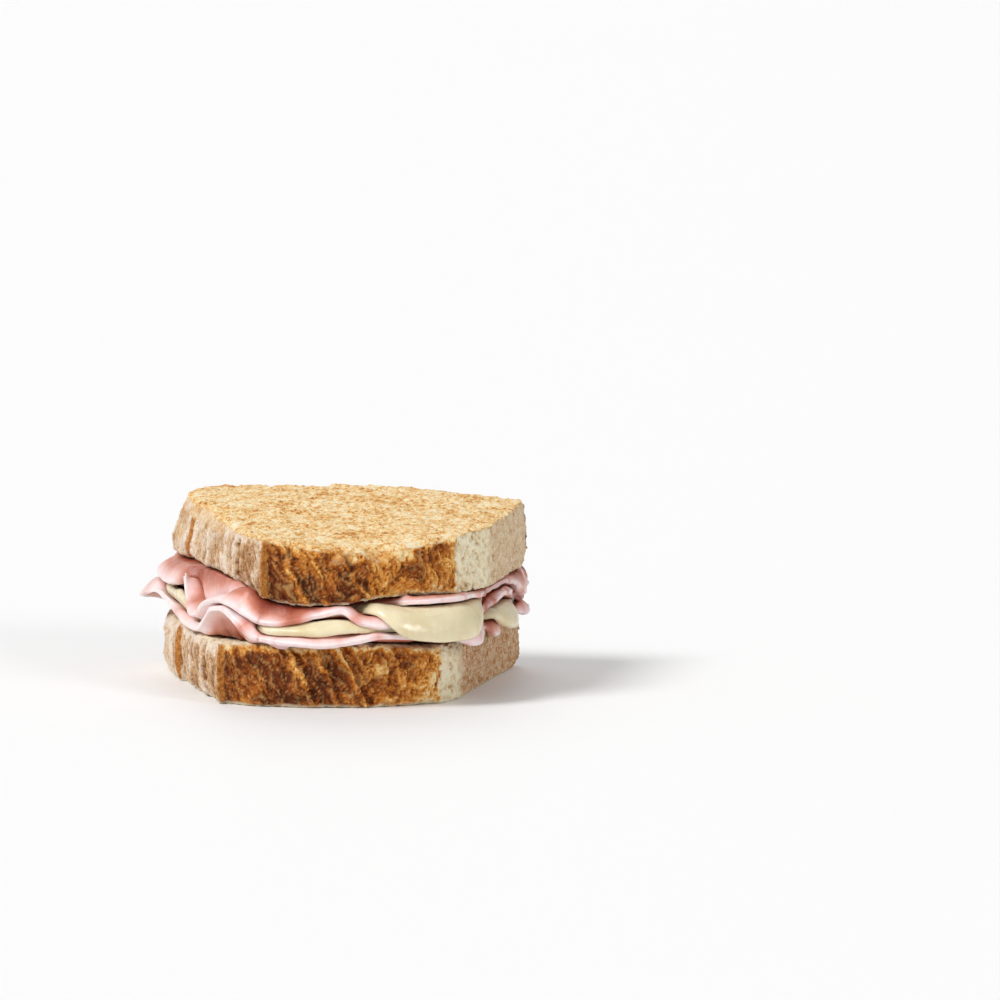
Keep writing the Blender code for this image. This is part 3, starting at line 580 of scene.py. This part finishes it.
def crust_colour(look, fine, floury, lip, tone, edge):
    """Browned and floury crust, with a painted highlight on its flake edges, and the walls beside the
    scores in dark orange, partly their baked colour and partly painted shade.
    """
    shade = look.scaled(look.math("SUBTRACT", fine, 0.5), 1.2, tone)
    browned = look.ramp(shade, BROWN_CRUST)
    tan = look.ramp(shade, FLOURY_CRUST)
    streaks = look.step(look.noise(2.2, 5.0, 0.8, 0.8, stretch=(1.0, 1.0, 0.6)), 0.48, 0.66)
    tan = look.mix(look.math("MULTIPLY", streaks, 0.75), tan, FLOURY_STREAK, "MULTIPLY")
    colour = look.mix(floury, browned, tan)
    # Painted highlight along the edges of the flakes.
    colour = look.mix(look.math("MULTIPLY", edge, 0.42), colour, FLAKE_EDGE_HIGHLIGHT)
    # The walls beside the scores, partly baked colour and partly painted shade.
    return look.mix(lip, colour, look.ramp(look.noise(1.2, 4.0, 0.8), SCORE_WALL_AND_SHADE))


def crumb_colour(look, pore_shade, far):
    """Cream crumb, with painted shade in its pores, and painted shade flecked with brown further along the
    cut.
    """
    # Painted shade: the crumb is darker in its pores.
    shade = look.scaled(look.noise(1.0, 5.0, 0.85), 2.2, look.math("MULTIPLY", pore_shade, 0.7))
    colour = look.ramp(look.math("SUBTRACT", shade, 0.86), CRUMB)
    # Painted shade, flecked with brown, on the cut past its pale strip.
    flecks = look.scaled(look.step(look.noise(1.5, 5.0, 0.85), 0.42, 0.58), 0.6, 0.35)
    return look.mix(look.math("MULTIPLY", far, flecks), colour, FAR_CUT_SHADE, "MULTIPLY")


def toast_colour(look, tone):
    """Cream, gold and brown speckle on the toasted face, in patches."""
    patches = look.scaled(look.noise(8.0, 3.0, 0.6), 1.1, -0.25)
    speckle = look.scaled(look.noise(1.7, 5.0, 0.9, 0.3), 3.3, -1.53)
    return look.ramp(look.math("ADD", speckle, look.scaled(tone, 0.22, patches)), TOASTED_FACE)


def bread_look():
    look = Look("toasted_bread")
    crust, toast, lip, floury = look.painted("region")
    tone, edge, pore_shade, far = look.painted("tone")
    fine = look.noise(0.8, 5.0, 0.75)
    finer = look.noise(0.4, 2.0, 0.6)
    colour = look.mix(crust, crumb_colour(look, pore_shade, far), crust_colour(look, fine, floury, lip, tone, edge))
    return look.finish(
        Base_Color=look.mix(toast, colour, toast_colour(look, tone)),
        Roughness=look.scaled(lip, -0.3, 0.75),
        Normal=look.bump(finer, 0.16, look.bump(fine, 0.4)),
        Specular_IOR_Level=0.2,
        Subsurface_Weight=0.06,
        Subsurface_Radius=(1.0, 0.6, 0.35),
        Subsurface_Scale=0.8 * MM,
    )


def tree_of(mesh):
    """The faces of a mesh, laid out so that a ray finds them quickly."""
    return BVHTree.FromPolygons([v.co[:] for v in mesh.vertices], [f.vertices[:] for f in mesh.polygons])


solid_trees = {node: tree_of(solid.data) for node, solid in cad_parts.items()}


def rim_distances(mesh, thickness, points):
    """How far each point is from a sheet's cut rim, in millimetres. A face is on the rim where the
    solid behind it is deeper than the sheet is thick."""
    tree = tree_of(mesh)
    marks = []
    for face in mesh.polygons:
        start = face.center - face.normal * 0.02 * MM
        _, _, _, depth = tree.ray_cast(start, -face.normal)
        if depth and depth > 1.7 * thickness * MM:
            corners = [mesh.vertices[i].co for i in face.vertices]
            for a, b in zip(corners, corners[1:] + corners[:1]):
                marks += [a.lerp(b, t) for t in (0.0, 0.33, 0.67)]
    near = KDTree(len(marks))
    for i, mark in enumerate(marks):
        near.insert(mark, i)
    near.balance()
    return np.array([near.find(p * MM)[2] for p in points]) / MM


def room_beyond(points, normals, node):
    """How far each point of a sheet could swell before it is halfway to the next layer, or at it
    where that is bread."""
    room = np.full(len(points), np.inf)
    for other, tree in solid_trees.items():
        if other == node:
            continue
        share = 1.0 if other.startswith("bread") else 0.5
        for i, (point, normal) in enumerate(zip(points, normals)):
            start = Vector(point * MM)
            distance = tree.ray_cast(start, Vector(normal), 2.0 * MOST_SWELL * MM)[3]
            if distance is not None:
                room[i] = min(room[i], share * max(0.0, distance / MM - LAYER_GAP))
    return room


def evened(mesh, values, rounds):
    """Values of the vertices, spread a little further along the edges in each round."""
    ends = np.empty(2 * len(mesh.edges), dtype=np.int64)
    mesh.edges.foreach_get("vertices", ends)
    a, b = ends.reshape(-1, 2).T
    size = len(values)
    near = np.bincount(a, minlength=size) + np.bincount(b, minlength=size)
    for _ in range(rounds):
        around = np.bincount(a, values[b], size) + np.bincount(b, values[a], size)
        values = 0.4 * values + 0.6 * around / np.maximum(near, 1)
    return values


def smoothed_sheet(node, thickness, crease):
    """The CAD sheet made smooth, and how far each of its vertices is from the sheet's cut rim."""
    obj = copy_of(node, node + "_slice")
    made = bmesh.new()
    made.from_mesh(obj.data)
    bmesh.ops.join_triangles(
        made, faces=made.faces, angle_face_threshold=math.pi, angle_shape_threshold=math.pi,
    )
    layer = made.edges.layers.float.new("crease_edge")
    for edge in made.edges:
        if len(edge.link_faces) == 2 and edge.calc_face_angle() > math.radians(SHARP_EDGE):
            edge[layer] = crease
    made.to_mesh(obj.data)
    made.free()
    coarse = obj.data.copy()
    divide = obj.modifiers.new("divide", "SUBSURF")
    divide.levels = divide.render_levels = 2
    settle(obj)
    away = rim_distances(coarse, thickness, points_of(obj.data))
    bpy.data.meshes.remove(coarse)
    return obj, away


def soft_sheet(node, thickness, wobble, seed, crease):
    """A slice of ham or cheese, smooth and softly waved, that swells towards its neighbours; and the
    masks for its look: how far it is from the rim, patches, under the bread where it gets painted
    shade, and well beyond the bread where the ham gets painted light."""
    obj, away = smoothed_sheet(node, thickness, crease)
    mesh = obj.data
    points, normals = points_of(mesh), normals_of(mesh)
    waves = wobble * layered(points / 5.0, octaves=2, seed=seed)
    waves += 0.3 * wobble * layered(points / 1.6, octaves=2, seed=seed + 9)
    room = room_beyond(points, normals, node)
    wanted = np.where(room < MOST_SWELL, room, 0.0) * smooth(0.5, 2.2, away)
    swell = np.minimum(evened(mesh, wanted, rounds=8), room)
    move_points(mesh, points + normals * (waves + swell)[:, None])
    _, inside = Rim(TOP_OUTLINE, TOP_CUT_FROM).along(points)
    patches = 0.5 + 0.5 * layered(points / 8.0, seed=seed + 20)
    # Where a sheet lies under the bread, for painted shade, and where it sticks well beyond it, for painted
    # light on the ham.
    under, lit_outside = smooth(-4.0, 4.0, inside), smooth(4.0, 9.0, -inside)
    paint(mesh, "sheet", np.clip(away / 12.0, 0.0, 1.0), patches, under, lit_outside)
    mesh.shade_smooth()
    return obj


def ham_look():
    look = Look("ham")
    away, patch, under, lit_outside = look.painted("sheet")
    blotch = look.noise(5.0, 3.0, 0.55, 0.5)
    fibre = look.noise(0.8, 3.0, 0.6, 0.3, stretch=(1.0, 1.0, 2.2))
    # Redder further from the rim, in blotches: the deep red is painted shade for the pockets.
    depth = look.scaled(look.math("SUBTRACT", blotch, 0.5), 0.22, away)
    # Deeper red under the bread, as painted shade.
    depth = look.scaled(look.math("MULTIPLY", under, look.step(away, 0.0, 0.12)), 0.25, depth)
    colour = look.ramp(depth, HAM_RIM_TO_POCKET_SHADE)
    pale = look.step(look.scaled(fibre, 0.5, look.math("MULTIPLY", patch, 0.5)), 0.5, 0.68)
    colour = look.mix(look.math("MULTIPLY", pale, 0.2), colour, PALE_HAM)
    # Darker under the bread, as painted shade.
    colour = look.mix(look.step(under, 0.25, 1.0), colour, HAM_SHADE_UNDER_BREAD, "MULTIPLY")
    # The ham well beyond the bread is paled as painted light.
    return look.finish(
        Base_Color=look.mix(look.math("MULTIPLY", lit_outside, 0.6), colour, LIT_END_OF_HAM),
        Roughness=look.scaled(blotch, 0.25, 0.26),
        Normal=look.bump(look.noise(2.4, 2.0), 0.18, look.bump(fibre, 0.08)),
        Specular_IOR_Level=0.35,
        Subsurface_Weight=0.28,
        Subsurface_Radius=(1.0, 0.38, 0.28),
        Subsurface_Scale=1.6 * MM,
        Coat_Weight=0.08,
        Coat_Roughness=0.2,
    )


def cheese_look():
    look = Look("cheese")
    away, patch, under, _ = look.painted("sheet")
    cloud = look.scaled(look.noise(5.0, 3.0, 0.5), 0.6, look.math("MULTIPLY", patch, 0.4))
    colour = look.ramp(cloud, CHEESE)
    colour = look.mix(look.step(away, 0.1, 0.0), colour, CHEESE_RIM)
    lumps = look.noise(4.0, 1.0)
    # The cheese is darker under the bread, as painted shade.
    return look.finish(
        Base_Color=look.mix(look.step(under, 0.15, 0.8), colour, CHEESE_SHADE_UNDER_BREAD),
        Roughness=look.scaled(lumps, 0.2, 0.15),
        Normal=look.bump(lumps, 0.3),
        Subsurface_Weight=0.4,
        Subsurface_Radius=(1.0, 0.8, 0.45),
        Subsurface_Scale=2.0 * MM,
        Coat_Weight=0.3,
        Coat_Roughness=0.12,
    )


def floor_plane():
    mesh = bpy.data.meshes.new("floor")
    across = (-FLOOR_HALF, FLOOR_HALF)
    corners = [(x, y, 0.0) for x, y in zip(across * 2, np.repeat(across, 2))]
    mesh.from_pydata(corners, [], [(0, 1, 3, 2)])
    floor = bpy.data.objects.new("floor", mesh)
    bpy.context.scene.collection.objects.link(floor)
    material = bpy.data.materials.new("pale_floor")
    material.use_nodes = True
    shader = material.node_tree.nodes["Principled BSDF"]
    shader.inputs["Base Color"].default_value = (0.86, 0.86, 0.86, 1.0)
    shader.inputs["Roughness"].default_value = 0.6
    mesh.materials.append(material)


def soft_sun(name, place, spread, strength):
    """Even light from a direction, softened by a wide disc."""
    light = bpy.data.lights.new(name, "SUN")
    light.angle = math.radians(spread)
    light.energy = strength
    obj = bpy.data.objects.new(name, light)
    obj.rotation_mode = "QUATERNION"
    obj.rotation_quaternion = (-Vector(place)).to_track_quat("-Z", "Y")
    bpy.context.scene.collection.objects.link(obj)


def studio():
    for name, (place, spread, strength) in SUNS.items():
        soft_sun(name, place, spread, strength)
    world = bpy.data.worlds.new("studio")
    world.use_nodes = True
    background = world.node_tree.nodes["Background"]
    background.inputs["Color"].default_value = (1.0, 1.0, 1.0, 1.0)
    background.inputs["Strength"].default_value = SKY_STRENGTH
    bpy.context.scene.world = world
    bpy.context.scene.view_settings.view_transform = "Standard"


def photo_camera():
    """A camera far off, at the photo's angle, with the origin where the photo shows it."""
    rise = math.radians(PHOTO_ELEVATION)
    back = Vector((0.0, -math.cos(rise), math.sin(rise)))
    right = (PHOTO_SIZE / 2 - ORIGIN_COLUMN) * PIXEL
    up = (ORIGIN_ROW - PHOTO_SIZE / 2) * PIXEL / math.cos(rise)
    target = Vector((right, 0.0, up))
    data = bpy.data.cameras.new("photo_camera")
    camera = bpy.data.objects.new("photo_camera", data)
    data.sensor_width = 36.0
    data.lens = data.sensor_width * PHOTO_DISTANCE / (PHOTO_SIZE * PIXEL)
    data.clip_end = 50.0
    camera.location = target + back * PHOTO_DISTANCE
    camera.rotation_mode = "QUATERNION"
    camera.rotation_quaternion = (-back).to_track_quat("-Z", "Y")
    bpy.context.scene.collection.objects.link(camera)
    bpy.context.scene.camera = camera


toasted = bread_look()
for made in (
    bread("bread_top", "top_slice", TOP_OUTLINE, TOP_CUT_FROM, TOP_STEPS, TOP_LIPS),
    bread("bread_bottom", "bottom_slice", BOTTOM_OUTLINE, BOTTOM_CUT_FROM, BOTTOM_STEPS, BOTTOM_LIPS),
):
    made.data.materials.append(toasted)

ham = ham_look()
for number, node in enumerate(("ham_lower", "ham_middle", "ham_upper")):
    made = soft_sheet(node, HAM_THICKNESS, wobble=0.14, seed=600 + 50 * number, crease=0.5)
    made.data.materials.append(ham)

cheese = cheese_look()
for number, node in enumerate(("cheese_lower", "cheese_upper")):
    made = soft_sheet(node, CHEESE_THICKNESS, wobble=0.1, seed=800 + 50 * number, crease=0.0)
    made.data.materials.append(cheese)

floor_plane()
studio()
photo_camera()
